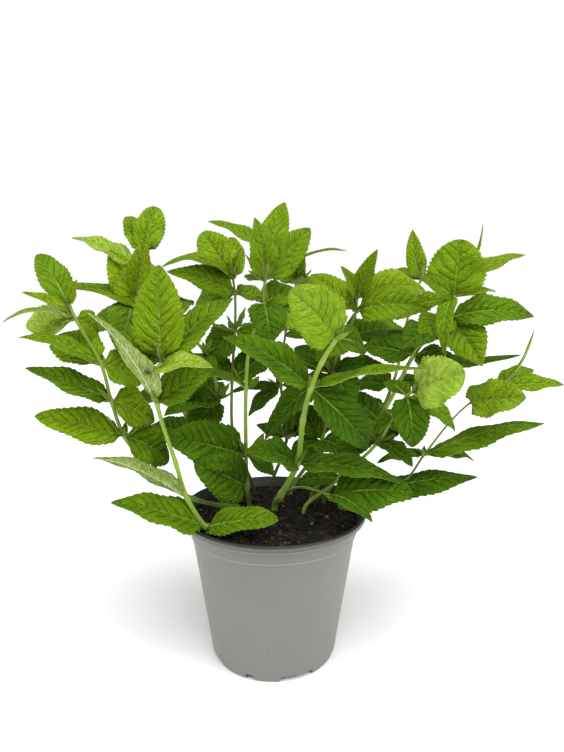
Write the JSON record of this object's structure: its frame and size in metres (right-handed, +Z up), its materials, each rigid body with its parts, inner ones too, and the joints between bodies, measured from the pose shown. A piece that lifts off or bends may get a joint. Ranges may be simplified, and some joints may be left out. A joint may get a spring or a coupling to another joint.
{
  "type": "potted mint plant",
  "caption": "Bushy potted herb: leafy square-stemmed mint with pointed, toothed leaves, standing in dark soil in a thin grey nursery pot with a rolled rim and drain recesses.",
  "frame": {"origin": "centre of the pot's flat base, where it stands on the table", "axes": "+Z up out of the pot; +X along the plant's widest spread; -Y faces the viewer of the picture"},
  "size_m": [0.3245, 0.1985, 0.2918],
  "materials": {
    "pot_plastic": "smooth satin grey thermoformed plastic with a black inner face",
    "soil": "moist dark potting mix with brown fibres and a few pale grains",
    "foliage": "living mint: soft matt green leaves with sunken veins and paler undersides, light green stems"
  },
  "bodies": {
    "root": {"pot": "pot_plastic", "soil": "soil", "stem_front_left": "foliage", "stem_left": "foliage", "stem_back_left": "foliage", "stem_back_mid": "foliage", "stem_centre": "foliage", "stem_front_mid": "foliage", "stem_right_front": "foliage", "stem_right_low": "foliage", "stem_low_right": "foliage", "stem_right_back": "foliage", "stem_back_right": "foliage", "stem_back": "foliage", "stem_far_left": "foliage", "stem_far_right": "foliage"}
  },
  "joints": []
}
